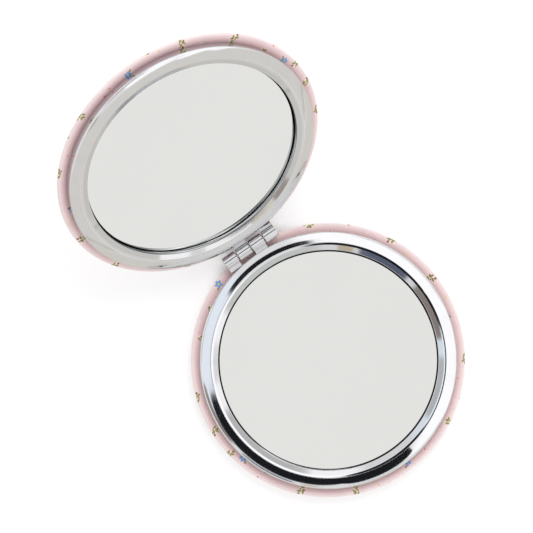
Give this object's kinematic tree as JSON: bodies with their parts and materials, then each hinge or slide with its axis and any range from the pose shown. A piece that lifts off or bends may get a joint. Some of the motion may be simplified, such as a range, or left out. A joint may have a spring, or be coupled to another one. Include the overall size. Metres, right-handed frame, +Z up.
{
  "type": "compact mirror",
  "caption": "Round folding pocket mirror with a mirror in each half, chrome frames on a pinned hinge and padded leather backs with a small print.",
  "frame": {"origin": "centre of the base's flat back, on the surface that it lies on", "axes": "+Z up out of the base's mirror, +Y towards the hinge and the raised lid, +X along the hinge pin"},
  "size_m": [0.0698, 0.1216, 0.0537],
  "materials": {
    "chrome": "polished",
    "mirror_glass": "polished",
    "printed_leather": "satin",
    "shell_plastic": "matte",
    "foam": "matte",
    "adhesive": "satin",
    "magnet": "satin",
    "pin_steel": "satin"
  },
  "bodies": {
    "base": {"base_frame": "chrome", "base_mirror": "mirror_glass", "base_mirror_tape": "adhesive", "base_bond_ring": "adhesive", "base_shell": "shell_plastic", "base_foam": "foam", "base_leather": "printed_leather", "base_magnet": "magnet", "hinge_pin": "pin_steel"},
    "lid": {"lid_frame": "chrome", "lid_mirror": "mirror_glass", "lid_mirror_tape": "adhesive", "lid_bond_ring": "adhesive", "lid_shell": "shell_plastic", "lid_foam": "foam", "lid_leather": "printed_leather", "lid_magnet": "magnet"}
  },
  "joints": [
    {"name": "lid_hinge", "type": "hinge", "parent": "base", "child": "lid", "pos_m": [0, 0.035, 0.00635], "axis": [-1, 0, 0], "range_deg": [-135, 40]}
  ]
}
